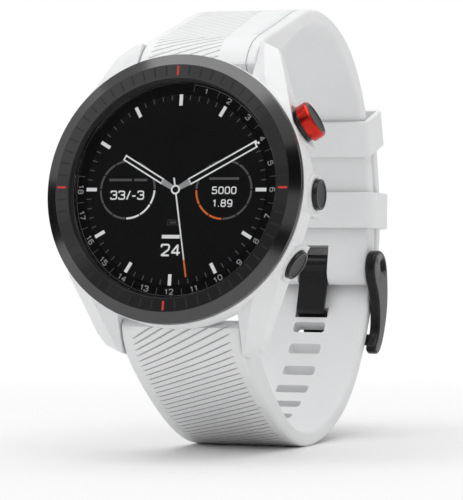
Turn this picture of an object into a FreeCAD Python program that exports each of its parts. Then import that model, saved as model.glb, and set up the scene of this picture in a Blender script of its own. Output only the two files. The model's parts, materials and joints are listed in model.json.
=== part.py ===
"""Golf GPS watch on a silicone strap, buckled into its loop.

Everything is modelled in the dial's own frame: X to 3 o'clock, Z to 12 o'clock and Y into
the watch, from 0 at the bezel's top face.  A place in the strap's side view is (t, d):
t along Z and d along Y.  At the end the whole watch leans back and is set down, so that
its box stands on Z = 0 with its centre over the origin.  Millimetres throughout.
"""
import FreeCAD
import Part
import math
import os

from FreeCAD import Vector

# Stance
LEAN = 9.8                       # degrees that the dial leans back

# Case, as radii round the dial's axis and depths behind the bezel's top
CASE_R = 23.5
CASE_DEPTH = 14.8
BEZEL_R = 23.4
BEZEL_IN_R = 19.0
BEZEL_BACK = 2.0
TICK_RING_R = 21.4
LENS_R = 18.7
LENS_TOP = 1.1
LENS_BACK = 2.3
DISPLAY_R = 16.5
DISPLAY_BACK = 4.0
LEDGE_R = 16.9
LEDGE_FRONT = 2.6
LEDGE_BACK = 3.5
CAVITY_R = 18.6
SIDE_BACK = 6.6                  # where the straight flank ends
CASE_BACK = 11.8
CASE_BACK_R = 20.3
COVER_R = 20.2

# Inner parts
FRAME_BACK = 5.0
BOARD_BACK = 5.8
BOARD_R = 17.2
CANS_BACK = 7.5
BATTERY = (20.0, 17.0, 4.2)      # along X, Z and Y
BATTERY_FRONT = 7.7
SCREW_AT = 11.24                 # the four screws, along X and along Z
SCREW_BOSS = 1.7
SCREW_SHANK = 0.7
SCREW_HEAD = 1.35
WINDOW_R = 9.0
PORT_T = -13.4                   # charging socket
PORT_SIZE = (9.4, 4.6)
CONTACTS = (-3, -1, 1, 3)
CONTACT_R = 0.45
FLEX_W = 8.0

# Buttons: angle above 3 o'clock, radius of the cap's face, radius of the cap
BUTTON_DEPTH = 7.3
BUTTON_TRAVEL = 0.6
BUTTONS = {"top": (30.0, 26.5), "middle": (0.0, 24.75), "bottom": (-30.0, 24.6)}
CAP_R = 2.65
TOP_CAP_R = 2.95
STEM_R = 1.0
STEM_FIT = 0.05
STEM_FOOT = 17.0
SEAL_R = 1.6
SPRING_ROOM_R = 2.0
PAD_R = 23.35                    # flat pad on the case, its width and its height
PAD_W = 7.2
PAD_H = 8.2
PAD_FRONT = 2.4
BOSS_R = 3.4                     # raised ring round the two lower buttons
BOSS_OUT = 0.5
RECESS_FLOOR = 22.2
CAP_BACK = RECESS_FLOOR + BUTTON_TRAVEL + 0.1
TOP_CAP_BACK = 25.2

# Lugs and strap
LUG_GAP = 22.3
LUG_TIP_SLANT = 0.45             # how far a lug's tip falls back per millimetre outward
STRAP_W = 22.0
STRAP_ROUND = 0.7
PIN_T = 23.8
PIN_D = 11.6
LUG_PIN_R = 0.8
LUG_PIN_HALF = LUG_GAP / 2 + 1.4
LATCH_T = 23.3                   # where a latch's frame touches the strap's inner face
LATCH_D = 16.2
LATCH_SLOPE = 46.5
CASE_CLEARANCE = 0.3

# Buckle
HINGE_T = -2.0
HINGE_D = 75.9
HINGE_PIN_R = 0.9
HINGE_FIT = 0.05
TONGUE_W = 5.5
TONGUE_THICK = 1.1
NOTCH_W = 6.1
ARM_IN = 11.3
ARM_OUT = 13.3
BAR_T = -16.2
BAR_D = 77.4
BAR_R = 1.1
SLOT_W = 6.3
SLOT_L = 2.2
SLOT_THROUGH = 8.0
SLOT_ROUND = 0.6
ARM_ROUND = 0.5

# Side view of the strap, from the lugs round to each end
TAIL_OUTER = [(-23.0, 8.0), (-27.3, 10.8), (-30.4, 15.4), (-35.0, 24.8), (-39.0, 37.2),
              (-39.6, 45.5), (-37.2, 55.0), (-32.3, 64.2), (-25.2, 71.2), (-16.1, 76.1),
              (-8.0, 78.9), (-2.0, 80.6), (4.0, 80.9), (12.0, 79.4), (22.6, 75.4)]
TAIL_INNER = [(21.7, 73.2), (11.4, 77.1), (4.0, 78.5), (-2.0, 78.3), (-7.0, 76.5),
              (-14.8, 73.6), (-23.6, 69.2), (-30.4, 62.3), (-34.9, 53.8), (-37.0, 45.4),
              (-36.3, 37.4), (-31.7, 27.2), (-25.7, 18.7), (-22.4, 15.2)]
BUCKLE_OUTER = [(23.0, 8.0), (27.3, 10.8), (30.4, 16.2), (35.4, 26.8), (38.9, 35.4),
                (39.5, 44.8), (36.5, 56.8), (31.2, 64.4), (24.6, 69.8), (18.6, 73.2),
                (12.0, 75.9), (4.0, 77.7), (-1.0, 78.0), (-4.2, 77.0), (-5.9, 75.2)]
BUCKLE_INNER = [(-5.9, 75.2), (-4.4, 73.7), (-1.0, 73.5), (4.0, 73.4), (11.0, 72.4), (18.0, 70.0),
                (24.4, 66.3), (29.7, 60.4), (34.4, 52.4), (37.0, 44.6), (36.4, 36.6),
                (32.4, 27.6), (26.6, 19.6), (22.4, 15.2)]
ROOT_FACE = [(21.7, 13.6), (21.5, 9.4)]

# Slots in the tail, as (t, d, slope of the slot there in degrees)
SLOTS = [(-14.9, 74.9, 25.0), (-19.4, 72.8, 37.0), (-23.9, 70.2, 42.0),
         (-27.7, 66.8, 48.0), (-31.0, 62.9, 54.0), (-33.8, 58.5, 61.0)]

# Keepers: centre (t, d) of the wrapped stack, slope of the stack and its thickness there
KEEPERS = {"keeper_upper": (22.9, 71.25, -25.5, 8.0), "keeper_lower": (8.7, 76.5, -7.5, 8.4)}
KEEPER_LONG = 6.9
KEEPER_WALL = 1.05
KEEPER_GAP = 0.25
KEEPER_ROUND = 1.8
KEEPER_EDGE = 0.3

DEPTH = Vector(0, 1, 0)
ACROSS = Vector(1, 0, 0)
UP = Vector(0, 0, 1)


def solid(shape):
    """One clean solid with its faces outward."""
    if shape.Volume < 0:
        shape.reverse()
    return shape


def disc(radius, front, back):
    return Part.makeCylinder(radius, back - front, Vector(0, front, 0), DEPTH)


def ring(outer, inner, front, back):
    return disc(outer, front, back).cut(disc(inner, front - 1, back + 1))


def turned(profile):
    """Solid of revolution round the dial's axis, from (radius, depth) points."""
    points = [Vector(r, d, 0) for r, d in profile]
    face = Part.Face(Part.makePolygon(points + points[:1]))
    return solid(face.revolve(Vector(), DEPTH, 360))


def block(x, t, d):
    """Box from three (low, high) pairs."""
    size = [high - low for low, high in (x, d, t)]
    return Part.makeBox(size[0], size[1], size[2], Vector(x[0], d[0], t[0]))


def post(x, t, radius, front, back):
    return Part.makeCylinder(radius, back - front, Vector(x, front, t), DEPTH)


def screw_post(radius, front, back):
    return post(SCREW_AT, SCREW_AT, radius, front, back)


def cross_rod(t, d, radius, half_length):
    """Rod along X through (t, d)."""
    return Part.makeCylinder(radius, 2 * half_length, Vector(-half_length, d, t), ACROSS)


def rod(radius, start, end):
    """Rod on a button's own axis, between two distances from the dial's centre."""
    return Part.makeCylinder(radius, end - start, Vector(start, 0, 0), ACROSS)


def tube(outer, inner, start, end):
    return rod(outer, start, end).cut(rod(inner, start - 1, end + 1))


def knob(profile):
    """Solid turned round a button's own axis, from (distance, radius) points."""
    points = [Vector(a, r, 0) for a, r in profile]
    face = Part.Face(Part.makePolygon(points + points[:1]))
    return solid(face.revolve(Vector(), ACROSS, 360))


def on_axis(shape, angle):
    """Turn a button's part from 3 o'clock to its place."""
    placed = shape.copy()
    placed.rotate(Vector(), DEPTH, -angle)
    placed.translate(Vector(0, BUTTON_DEPTH, 0))
    return placed


def curve(points, x):
    spline = Part.BSplineCurve()
    spline.interpolate([Vector(x, d, t) for t, d in points])
    return spline.toShape()


def side_prism(edges, width):
    face = Part.Face(Part.Wire(edges))
    return solid(face.extrude(Vector(width, 0, 0)))


def flat_edges(shape, shortest=0.0):
    """The edges that lie in a plane across the X axis, from a given length up."""
    return [edge for edge in shape.Edges
            if edge.BoundBox.XLength < 1e-6 and edge.Length > shortest]


def smooth_plate(points, x0, x1):
    """Plate with a smooth closed outline in the side view."""
    spline = Part.BSplineCurve()
    spline.interpolate([Vector(x0, d, t) for t, d in points], True)
    return side_prism([spline.toShape()], x1 - x0)


def link(start, end, thickness, width):
    """Flat bar with round ends between two places of the side view."""
    run = Vector(0, end[1] - start[1], end[0] - start[0])
    length = run.Length
    bar = Part.makeBox(width, thickness, length, Vector(-width / 2, -thickness / 2, 0))
    turn = math.degrees(math.atan2(run.y, run.z))
    bar.rotate(Vector(), ACROSS, -turn)
    bar.translate(Vector(0, start[1], start[0]))
    for t, d in (start, end):
        bar = bar.fuse(cross_rod(t, d, thickness / 2, width / 2))
    return bar.removeSplitter()


def tilted_box(t, d, slope, along, thick, width):
    """Box centred on (t, d), with its length on a line that slopes from the t direction."""
    box = Part.makeBox(width, thick, along, Vector(-width / 2, -thick / 2, -along / 2))
    box.rotate(Vector(), ACROSS, -slope)
    box.translate(Vector(0, d, t))
    return box


# ---------------------------------------------------------------- case

def lug():
    """One lug on the 12 o'clock and 3 o'clock side: a faceted horn between six-sided sections."""
    inner = LUG_GAP / 2
    sections = [
        (11.5, [(inner, 3.2), (17.5, 2.1), (20.4, 3.0), (20.2, 9.5), (18.2, 11.8), (inner, 11.8)]),
        (15.2, [(inner, 3.4), (16.4, 2.2), (19.2, 3.8), (18.7, 9.9), (15.6, 12.6), (inner, 12.6)]),
        (20.2, [(inner, 6.2), (14.2, 4.3), (17.1, 6.6), (16.2, 12.2), (13.9, 14.0), (inner, 14.0)]),
        (24.2, [(inner, 8.4), (12.8, 7.2), (15.4, 8.5), (14.4, 14.0), (13.2, 15.0), (inner, 15.0)]),
        (27.4, [(inner, 9.9), (11.9, 9.5), (14.3, 9.9), (13.6, 13.4), (12.8, 14.2), (inner, 14.2)])]
    wires = []
    for t, outline in sections:
        back_off = LUG_TIP_SLANT if t == sections[-1][0] else 0
        points = [Vector(x, d, t - back_off * (x - inner)) for x, d in outline]
        wires.append(Part.makePolygon(points + points[:1]))
    return solid(Part.makeLoft(wires, True, True))


def four_ways(shape):
    """The shape and its mirror images across X and Z."""
    right = shape.mirror(Vector(), ACROSS)
    upper = [shape, right]
    return upper + [piece.mirror(Vector(), UP) for piece in upper]


def case_body():
    shell = turned([(CAVITY_R - 2, BEZEL_BACK), (CASE_R - 0.2, BEZEL_BACK), (CASE_R, BEZEL_BACK + 0.3),
                    (CASE_R, SIDE_BACK), (22.5, 8.6), (CASE_BACK_R, CASE_BACK),
                    (CAVITY_R - 2, CASE_BACK)])
    shell = shell.fuse(four_ways(lug()))
    shell = shell.cut(disc(COVER_R + 0.15, CASE_BACK, CASE_DEPTH + 2))
    for name, (angle, _) in BUTTONS.items():
        pad = Part.makeBox(PAD_R - LEDGE_R, PAD_H, PAD_W,
                           Vector(LEDGE_R, PAD_FRONT - BUTTON_DEPTH, -PAD_W / 2))
        pad = pad.fuse(rod(BOSS_R + 0.3, LEDGE_R, PAD_R))
        if name != "top":
            pad = pad.fuse(rod(BOSS_R, LEDGE_R, PAD_R + BOSS_OUT))
        shell = shell.fuse(on_axis(pad, angle))
    shell = shell.cut(disc(CAVITY_R, LEDGE_BACK, CASE_BACK + 1))
    shell = shell.cut(disc(LEDGE_R, 0, CASE_BACK + 1))
    shell = shell.cut(disc(BEZEL_IN_R, BEZEL_BACK - 1, LEDGE_FRONT))
    web = SCREW_AT + 1.16
    boss = screw_post(SCREW_BOSS, 8.6, 10.8).fuse(post(web, web, SCREW_BOSS, 8.6, 10.8))
    boss = boss.common(disc(CAVITY_R + 0.5, 8, 11))
    shell = shell.fuse(four_ways(boss))
    shell = shell.cut(four_ways(screw_post(SCREW_SHANK, 9.0, 11.0)))
    for name, (angle, _) in BUTTONS.items():
        shell = shell.cut(on_axis(button_bore(name), angle))
    for side in (1, -1):
        shell = shell.cut(cross_rod(side * PIN_T, PIN_D, LUG_PIN_R, LUG_PIN_HALF))
    return shell.removeSplitter()


def button_bore(name):
    """Room for the stem, its seal, the washer, the spring and the cap."""
    bore = rod(STEM_R + STEM_FIT, CAVITY_R - 2, RECESS_FLOOR + 1)
    bore = bore.fuse(rod(SEAL_R, 19.1, 19.7))
    bore = bore.fuse(rod(SPRING_ROOM_R, 19.7, RECESS_FLOOR))
    if name == "top":
        return bore.fuse([rod(TOP_CAP_R, RECESS_FLOOR, PAD_R), rod(BOSS_R + 0.3, PAD_R, PAD_R + 4)])
    return bore.fuse([rod(CAP_R + 0.1, RECESS_FLOOR, PAD_R + 1),
                      rod(BOSS_R, PAD_R + BOSS_OUT, PAD_R + 4)])


def bezel():
    return turned([(BEZEL_IN_R, 0), (TICK_RING_R, 0), (BEZEL_R, 0.95), (BEZEL_R, BEZEL_BACK),
                   (BEZEL_IN_R, BEZEL_BACK)])


def back_cover():
    cover = turned([(17.2, 10.8), (18.0, 10.8), (18.0, CASE_BACK), (COVER_R, CASE_BACK),
                    (20.0, 12.6), (17.6, 13.8), (11.5, 14.3), (WINDOW_R, 14.6),
                    (WINDOW_R, 13.4), (8.6, 13.4), (8.6, 12.9), (17.2, 12.9)])
    cover = cover.fuse(four_ways(screw_post(SCREW_BOSS, 10.8, 13.4)))
    cover = cover.cut(four_ways(screw_post(SCREW_SHANK, 10, 14)))
    cover = cover.cut(four_ways(screw_post(SCREW_HEAD, 13.0, 15)))
    return cover.cut(port_block(12, 15)).removeSplitter()


def port_block(front, back):
    wide, tall = PORT_SIZE
    return block((-wide / 2, wide / 2), (PORT_T - tall / 2, PORT_T + tall / 2), (front, back))


def case_parts():
    parts = {}
    parts["case_body"] = case_body()
    parts["bezel"] = bezel()
    parts["lens"] = disc(LENS_R, LENS_TOP, LENS_BACK)
    parts["lens_gasket"] = ring(BEZEL_IN_R, LENS_R, LENS_TOP + 0.2, BEZEL_BACK)
    parts["chapter_ring"] = ring(LENS_R, DISPLAY_R + 0.1, LENS_BACK, LEDGE_FRONT)
    parts["back_cover"] = back_cover()
    parts["back_gasket"] = ring(CAVITY_R, 18.0, 11.0, CASE_BACK)
    screw = screw_post(SCREW_SHANK, 9.4, 13.0).fuse(screw_post(SCREW_HEAD, 13.0, 13.7))
    screw = screw.cut(screw_post(0.45, 13.3, 14.0))
    parts["back_screws"] = Part.makeCompound(four_ways(screw))
    parts["sensor_window"] = turned([(0, 13.4), (WINDOW_R, 13.4), (WINDOW_R, 14.6),
                                     (8.5, CASE_DEPTH), (0, CASE_DEPTH)])
    parts["lug_pins"] = Part.makeCompound(
        [cross_rod(side * PIN_T, PIN_D, LUG_PIN_R, LUG_PIN_HALF) for side in (1, -1)])
    return parts


def inner_parts():
    half = FLEX_W / 2
    flex_notch = block((-half - 0.4, half + 0.4), (15.2, 19), (3, 7))
    parts = {}
    parts["display_module"] = disc(DISPLAY_R, LENS_BACK, DISPLAY_BACK)
    flex_bed = block((-half - 0.4, half + 0.4), (9.5, 16), (DISPLAY_BACK - 1, DISPLAY_BACK + 0.3))
    parts["inner_frame"] = disc(17.6, DISPLAY_BACK, FRAME_BACK).cut([flex_bed, flex_notch])
    ribbon = block((-half, half), (10, 15.8), (DISPLAY_BACK, DISPLAY_BACK + 0.2))
    ribbon = ribbon.fuse(block((-half, half), (15.6, 15.8), (DISPLAY_BACK, BOARD_BACK + 0.2)))
    ribbon = ribbon.fuse(block((-half, half), (12, 15.8), (BOARD_BACK, BOARD_BACK + 0.2)))
    parts["display_flex"] = ribbon.removeSplitter()
    parts["antenna_ring"] = ring(CAVITY_R, 18.0, LEDGE_BACK, 5.2)
    parts["mainboard"] = disc(BOARD_R, FRAME_BACK, BOARD_BACK).cut(flex_notch)
    parts["shield_cans"] = Part.makeCompound([
        block((-13, -1), (-7, 7), (BOARD_BACK, CANS_BACK)),
        block((1, 9), (-7, 7), (BOARD_BACK, CANS_BACK))])
    wide, tall, thick = BATTERY
    parts["battery"] = block((-12.5, wide - 12.5), (-tall / 2, tall / 2),
                             (BATTERY_FRONT, BATTERY_FRONT + thick))
    parts["vibration_motor"] = post(-1, -13.4, 4.2, 8.0, 10.8)
    board = disc(8.2, 12.1, 12.8)
    for x, t in ((0, 0), (3, 0), (-3, 0), (0, 3), (0, -3)):
        board = board.fuse(block((x - 0.8, x + 0.8), (t - 0.8, t + 0.8), (12.8, 13.2)))
    parts["sensor_board"] = board.removeSplitter()
    holes = [post(x, PORT_T, CONTACT_R, 12, 14) for x in CONTACTS]
    parts["charge_port"] = port_block(12.2, 13.3).cut(holes)
    pins = [post(x, PORT_T, CONTACT_R, 12.2, 13.7) for x in CONTACTS]
    parts["charge_contacts"] = Part.makeCompound(pins)
    return parts


def spring_coil():
    """Compression spring between the washer and the cap, drawn fully seated."""
    coil_r = 1.62
    half = 0.16
    start = 19.9 + half + 0.03
    helix = Part.makeHelix(0.62, RECESS_FLOOR - 0.25 - start, coil_r)
    corners = [Vector(coil_r + x, 0, z) for x, z in
               ((-half, -half), (half, -half), (half, half), (-half, half), (-half, -half))]
    coil = Part.Wire(helix.Edges).makePipeShell([Part.makePolygon(corners)], True, True)
    coil.rotate(Vector(), DEPTH, 90)
    coil.translate(Vector(start, 0, 0))
    return solid(coil)


def button_parts():
    parts = {}
    seals = []
    washers = []
    springs = []
    switches = []
    for name, (angle, face_r) in BUTTONS.items():
        if name == "top":
            stem_top = TOP_CAP_BACK
            head = knob([(TOP_CAP_BACK, 0), (TOP_CAP_BACK, TOP_CAP_R), (26.4, TOP_CAP_R),
                         (face_r, TOP_CAP_R - 0.25), (face_r, 0)])
            skirt = knob([(24.35, 3.1), (24.35, 3.35), (26.1, 3.35), (26.4, 3.1), (26.4, TOP_CAP_R),
                          (TOP_CAP_BACK, TOP_CAP_R), (TOP_CAP_BACK, 3.1)])
            parts["button_top_ring"] = on_axis(skirt, angle)
            parts["collar_top"] = on_axis(tube(TOP_CAP_R, STEM_R + STEM_FIT, RECESS_FLOOR, 24.5), angle)
        else:
            stem_top = CAP_BACK
            head = knob([(CAP_BACK, 0), (CAP_BACK, CAP_R), (face_r - 0.35, CAP_R),
                         (face_r, CAP_R - 0.35), (face_r, 0)])
        parts["button_" + name] = on_axis(head.fuse(rod(STEM_R, STEM_FOOT, stem_top)), angle)
        parts["clip_" + name] = on_axis(tube(1.8, STEM_R, 18.0, 18.4), angle)
        seals.append(on_axis(tube(SEAL_R, STEM_R + STEM_FIT, 19.1, 19.7), angle))
        washers.append(on_axis(tube(SPRING_ROOM_R, STEM_R + STEM_FIT, 19.7, 19.9), angle))
        springs.append(on_axis(spring_coil(), angle))
        switch = Part.makeBox(1.8, 2.9, 3.6, Vector(14.2, BOARD_BACK - BUTTON_DEPTH, -1.8))
        switches.append(on_axis(switch.fuse(rod(0.6, 15.9, 16.25)), angle))
    parts["stem_seals"] = Part.makeCompound(seals)
    parts["seal_washers"] = Part.makeCompound(washers)
    parts["button_springs"] = Part.makeCompound(springs)
    parts["side_switches"] = Part.makeCompound(switches)
    return parts


# ---------------------------------------------------------------- strap

def latch_frame(shape, side):
    """Set a part from the latch's own frame into a strap end.

    In the latch's frame Z runs along the strap away from the case and Y runs into it.
    """
    placed = shape.copy()
    placed.rotate(Vector(), UP, 180)
    placed.rotate(Vector(), ACROSS, -LATCH_SLOPE)
    placed.translate(Vector(0, LATCH_D, LATCH_T))
    if side < 0:
        placed = placed.mirror(Vector(), UP)
    return placed


def latch_pocket():
    pocket = Part.makeBox(9.4, 1.9, 7.4, Vector(-4.7, -0.6, -0.2))
    pocket = pocket.fuse(Part.makeBox(6.6, 3.4, 4.2, Vector(-3.3, 0, -0.2)))
    return pocket.fuse(Part.makeCylinder(0.75, 2.6, Vector(0, 0.6, 7.0), UP))


def latch_slider():
    plate = Part.makeBox(9.0, 1.0, 4.6, Vector(-4.5, 0.1, 0.0))
    ridge = Part.makeBox(7.0, 0.5, 1.2, Vector(-3.5, -0.4, 2.6))
    leg = Part.makeBox(6.2, 2.1, 1.5, Vector(-3.1, 1.0, 0.1))
    return plate.fuse([ridge, leg]).removeSplitter()


def latch_spring():
    return Part.makeCylinder(0.7, 2.2, Vector(0, 0.6, 7.35), UP)


def strap_root_cut():
    """The case with its clearance, taken out of the strap ends."""
    gap = CASE_CLEARANCE
    return turned([(0, 0), (CASE_R + gap, 0), (CASE_R + gap, SIDE_BACK + gap), (22.5 + gap, 8.7 + gap),
                   (CASE_BACK_R + gap, CASE_BACK + gap), (0, CASE_BACK + gap)])


def strap_half(outer, inner, side, end_edges):
    x = -STRAP_W / 2
    root = [(side * t, d) for t, d in ROOT_FACE]
    outline = [curve(outer, x)] + end_edges + [curve(inner, x)]
    corners = [inner[-1]] + root + [outer[0]]
    points = [Vector(x, d, t) for t, d in corners]
    outline.extend(Part.makePolygon(points).Edges)
    half = side_prism(outline, STRAP_W)
    half = half.makeFillet(STRAP_ROUND, flat_edges(half, 40))
    half = half.cut(strap_root_cut())
    half = half.cut(latch_frame(latch_pocket(), side))
    return half.cut(cross_rod(side * PIN_T, PIN_D, LUG_PIN_R + 0.05, STRAP_W))


def tongue(grow=0.0):
    """Tongue from its eye through the slot to the frame's bar."""
    width = TONGUE_W + grow
    thick = TONGUE_THICK + grow
    path = [(-7.2, 74.55), (-10.8, 74.0), (-13.8, 78.7), (-17.6, 79.5)]
    plate = link((HINGE_T, HINGE_D - 0.6), path[0], thick, width)
    for start, end in zip(path, path[1:]):
        plate = plate.fuse(link(start, end, thick, width))
    return plate


def strap_slot(t, d, slope):
    """Cutter for one slot, with round corners."""
    slot = tilted_box(t, d, slope, SLOT_L, SLOT_THROUGH, SLOT_W)
    corners = [edge for edge in slot.Edges if abs(edge.Length - SLOT_THROUGH) < 1e-6]
    return slot.makeFillet(SLOT_ROUND, corners)


def strap_tail():
    x = -STRAP_W / 2
    tip = Part.makeLine(Vector(x, TAIL_OUTER[-1][1], TAIL_OUTER[-1][0]),
                        Vector(x, TAIL_INNER[0][1], TAIL_INNER[0][0]))
    tail = strap_half(TAIL_OUTER, TAIL_INNER, -1, [tip])
    for t, d, slope in SLOTS:
        tail = tail.cut(strap_slot(t, d, slope))
    return tail.cut(tongue(1.0))


def strap_buckle_half():
    half = strap_half(BUCKLE_OUTER, BUCKLE_INNER, 1, [])
    half = half.cut(cross_rod(HINGE_T, HINGE_D, HINGE_PIN_R + HINGE_FIT, STRAP_W))
    notch = block((-NOTCH_W / 2, NOTCH_W / 2), (-8, 1.5), (70, 80))
    return half.cut(notch)


def buckle_frame():
    outline = [(0.7, 75.8), (-0.4, 78.2), (-4.0, 80.0), (-9.5, 80.8), (-14.2, 79.9), (-17.4, 78.4),
               (-19.0, 76.2), (-18.4, 74.6), (-16.2, 75.6), (-12.8, 76.3), (-7.6, 74.4),
               (-4.4, 71.7), (-1.2, 71.5)]
    arm = smooth_plate(outline, ARM_IN, ARM_OUT)
    arm = arm.makeFillet(ARM_ROUND, flat_edges(arm))
    arm = arm.cut(cross_rod(HINGE_T, HINGE_D, HINGE_PIN_R, ARM_OUT + 1))
    arm = arm.cut(Part.makeCylinder(1.3, 1.0, Vector(ARM_OUT - 0.4, HINGE_D, HINGE_T), ACROSS))
    bar = cross_rod(BAR_T, BAR_D, BAR_R, ARM_OUT - 0.2)
    return bar.fuse([arm, arm.mirror(Vector(), ACROSS)]).removeSplitter()


def buckle_tongue():
    plate = tongue()
    eye = cross_rod(HINGE_T, HINGE_D, 2.0, TONGUE_W / 2)
    plate = plate.fuse(eye).removeSplitter()
    return plate.cut(cross_rod(HINGE_T, HINGE_D, HINGE_PIN_R + HINGE_FIT, TONGUE_W))


def keeper(t, d, slope, stack):
    """Flat loop round both layers of the strap."""
    inside = STRAP_W + 2 * KEEPER_GAP
    outer = tilted_box(t, d, slope, KEEPER_LONG, stack + 2 * KEEPER_WALL, inside + 2 * KEEPER_WALL)
    corners = [edge for edge in outer.Edges if abs(edge.Length - KEEPER_LONG) < 0.01]
    outer = outer.makeFillet(KEEPER_ROUND, corners)
    loop = outer.cut(tilted_box(t, d, slope, KEEPER_LONG + 2, stack, inside))
    rims = [edge for edge in loop.Edges if abs(edge.Length - KEEPER_LONG) > 0.01]
    return loop.makeFillet(KEEPER_EDGE, rims)


def strap_parts():
    parts = {"strap_tail": strap_tail(), "strap_buckle_half": strap_buckle_half()}
    parts["latch_upper"] = latch_frame(latch_slider(), 1)
    parts["latch_lower"] = latch_frame(latch_slider(), -1)
    parts["latch_springs"] = Part.makeCompound([latch_frame(latch_spring(), s) for s in (1, -1)])
    parts["buckle_pin"] = cross_rod(HINGE_T, HINGE_D, HINGE_PIN_R, ARM_OUT - 0.4)
    parts["buckle_frame"] = buckle_frame()
    parts["buckle_tongue"] = buckle_tongue()
    for name, place in KEEPERS.items():
        parts[name] = keeper(*place)
    return parts


# ---------------------------------------------------------------- stance

def lean(shape):
    leaned = shape.copy()
    leaned.rotate(Vector(), ACROSS, -LEAN)
    return leaned


def stand(parts):
    """Lean every part back, then move the whole so that its box stands on the origin."""
    leaned = {name: lean(shape) for name, shape in parts.items()}
    box = Part.makeCompound(list(leaned.values())).optimalBoundingBox(False, False)
    shift = Vector(-box.Center.x, -box.Center.y, -box.ZMin)
    for shape in leaned.values():
        shape.translate(shift)
    return leaned, shift


PARTS = {}
PARTS.update(case_parts())
PARTS.update(inner_parts())
PARTS.update(button_parts())
PARTS.update(strap_parts())
STANDING, SHIFT = stand(PARTS)

os.makedirs("parts", exist_ok=True)
for name, shape in STANDING.items():
    shape.exportStep("parts/" + name + ".step")
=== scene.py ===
import json
import math
from collections import namedtuple
from contextlib import contextmanager

import bmesh
import bpy
from mathutils import Matrix, Vector
from mathutils.bvhtree import BVHTree


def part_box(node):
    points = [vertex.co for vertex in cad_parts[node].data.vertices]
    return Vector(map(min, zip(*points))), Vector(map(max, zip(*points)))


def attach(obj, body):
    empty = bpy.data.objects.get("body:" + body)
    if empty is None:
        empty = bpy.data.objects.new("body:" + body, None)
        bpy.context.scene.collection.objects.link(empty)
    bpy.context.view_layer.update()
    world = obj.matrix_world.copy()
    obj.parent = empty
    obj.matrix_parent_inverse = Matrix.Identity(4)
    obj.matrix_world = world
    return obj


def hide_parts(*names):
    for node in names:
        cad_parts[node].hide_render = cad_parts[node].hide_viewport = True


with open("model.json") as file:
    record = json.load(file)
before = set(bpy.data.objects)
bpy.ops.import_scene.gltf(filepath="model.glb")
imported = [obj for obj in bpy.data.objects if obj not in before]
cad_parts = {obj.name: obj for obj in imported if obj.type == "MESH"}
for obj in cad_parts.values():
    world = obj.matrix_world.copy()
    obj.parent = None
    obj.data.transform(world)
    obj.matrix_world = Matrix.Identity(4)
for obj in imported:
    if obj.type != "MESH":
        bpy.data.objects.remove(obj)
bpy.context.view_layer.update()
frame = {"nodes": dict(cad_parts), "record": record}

NODES = frame["nodes"]

# The dial's own frame: X to 3 o'clock, Y into the watch, Z to 12 o'clock, in millimetres,
# from the middle of the bezel's top face.
MM = 0.001
LEAN = math.radians(9.8)
LENS_MIDDLE = 1.7                # how deep the middle of the cover glass lies
TURN = Matrix.Rotation(-LEAN, 4, "X")
low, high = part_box("lens")
DIAL_CENTRE = (low + high) / 2 - TURN @ Vector((0, LENS_MIDDLE * MM, 0))
TO_ROW = Matrix.Translation(DIAL_CENTRE) @ TURN @ Matrix.Scale(MM, 4)
TO_DIAL = TO_ROW.inverted()


# ------------------------------------------------------------------ mesh helpers

def mesh_piece(name, points, faces, edges=()):
    mesh = bpy.data.meshes.new(name)
    mesh.from_pydata(points, edges, faces)
    piece = bpy.data.objects.new(name, mesh)
    bpy.context.scene.collection.objects.link(piece)
    return piece


@contextmanager
def opened(piece):
    """The piece's mesh, open for editing, and written back at the end."""
    shape = bmesh.new()
    shape.from_mesh(piece.data)
    yield shape
    shape.to_mesh(piece.data)
    shape.free()


def weld(piece, gap=1e-4, outward=True):
    """Merge doubles and, if asked, turn every face outward."""
    with opened(piece) as shape:
        bmesh.ops.remove_doubles(shape, verts=shape.verts, dist=gap)
        if outward:
            bmesh.ops.recalc_face_normals(shape, faces=shape.faces)
    return piece


def coat(piece, material):
    """Give the whole piece one finish."""
    piece.data.materials.clear()
    piece.data.materials.append(material)
    piece.data.polygons.foreach_set("material_index", [0] * len(piece.data.polygons))


def shade(piece, angle=35):
    piece.data.polygons.foreach_set("use_smooth", [True] * len(piece.data.polygons))
    piece.data.set_sharp_from_angle(angle=math.radians(angle))


def bake(piece):
    """Turn the piece's modifiers into plain mesh."""
    graph = bpy.context.evaluated_depsgraph_get()
    graph.update()
    made = bpy.data.meshes.new_from_object(piece.evaluated_get(graph))
    made.name = piece.name
    piece.modifiers.clear()
    piece.data = made
    return piece


def settle(piece, body, nodes=(), material=None, angle=35, even=True):
    """Place a piece that was made in the dial's frame, and give it its body and finish."""
    piece.data.transform(TO_ROW)
    if material:
        coat(piece, material)
    shade(piece, angle)
    if even:
        weighted = piece.modifiers.new("even_shading", "WEIGHTED_NORMAL")
        weighted.keep_sharp = True
        bake(piece)
    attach(piece, body)
    if nodes:
        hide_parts(*nodes)
    return piece


def soft_corner(points, radius, steps=4):
    """Round the corners of a closed line of (a, b) points, with one radius or one for each point.

    The ends of an open line take a radius of 0.
    """
    radii = radius if isinstance(radius, (list, tuple)) else [radius] * len(points)
    out = []
    count = len(points)
    for i, p in enumerate(points):
        here = Vector(p)
        before = Vector(points[i - 1]) - here
        after = Vector(points[(i + 1) % count]) - here
        if radii[i] <= 0 or before.length < 1e-6 or after.length < 1e-6:
            out.append(here)
            continue
        half = before.angle(after) / 2
        reach = min(radii[i] / max(math.tan(half), 1e-3), before.length * 0.49, after.length * 0.49)
        start, end = here + before.normalized() * reach, here + after.normalized() * reach
        for k in range(steps + 1):
            f = k / steps
            out.append(start * (1 - f) ** 2 + here * 2 * f * (1 - f) + end * f * f)
    return out


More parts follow.
